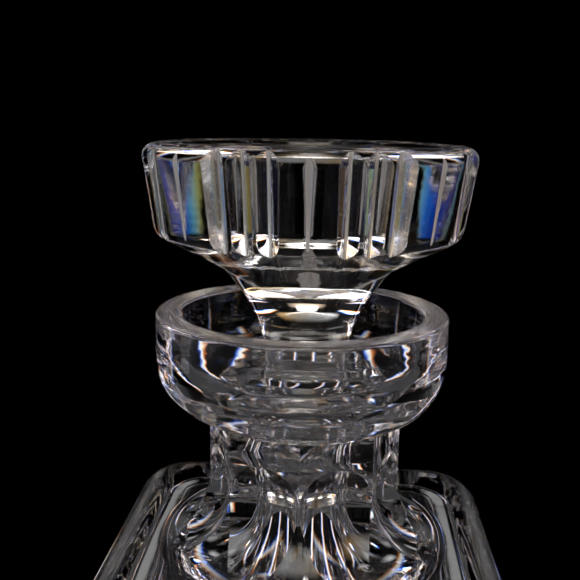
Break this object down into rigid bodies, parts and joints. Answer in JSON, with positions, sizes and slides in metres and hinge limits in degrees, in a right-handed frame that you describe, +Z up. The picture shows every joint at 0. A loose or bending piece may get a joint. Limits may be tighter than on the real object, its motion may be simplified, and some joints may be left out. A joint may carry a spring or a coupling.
{
  "type": "cut crystal decanter",
  "caption": "Square-bodied cut crystal decanter with a cup-shaped collar and a fluted disc stopper whose tapered plug lifts out of the neck.",
  "frame": {"origin": "centre of the foot, on the surface that the decanter stands on", "axes": "+Z up along the neck and stopper, -Y out of the front face, +X to the right seen from the front"},
  "size_m": [0.096, 0.096, 0.2397],
  "materials": {
    "vessel_crystal": "polished lead crystal",
    "stopper_crystal": "polished lead crystal"
  },
  "bodies": {
    "vessel": {"decanter_vessel": "vessel_crystal"},
    "stopper": {"stopper": "stopper_crystal"}
  },
  "joints": [
    {"name": "stopper_lift", "type": "slide", "parent": "vessel", "child": "stopper", "axis": [0, 0, 1], "range_m": [0, 0.06]}
  ]
}
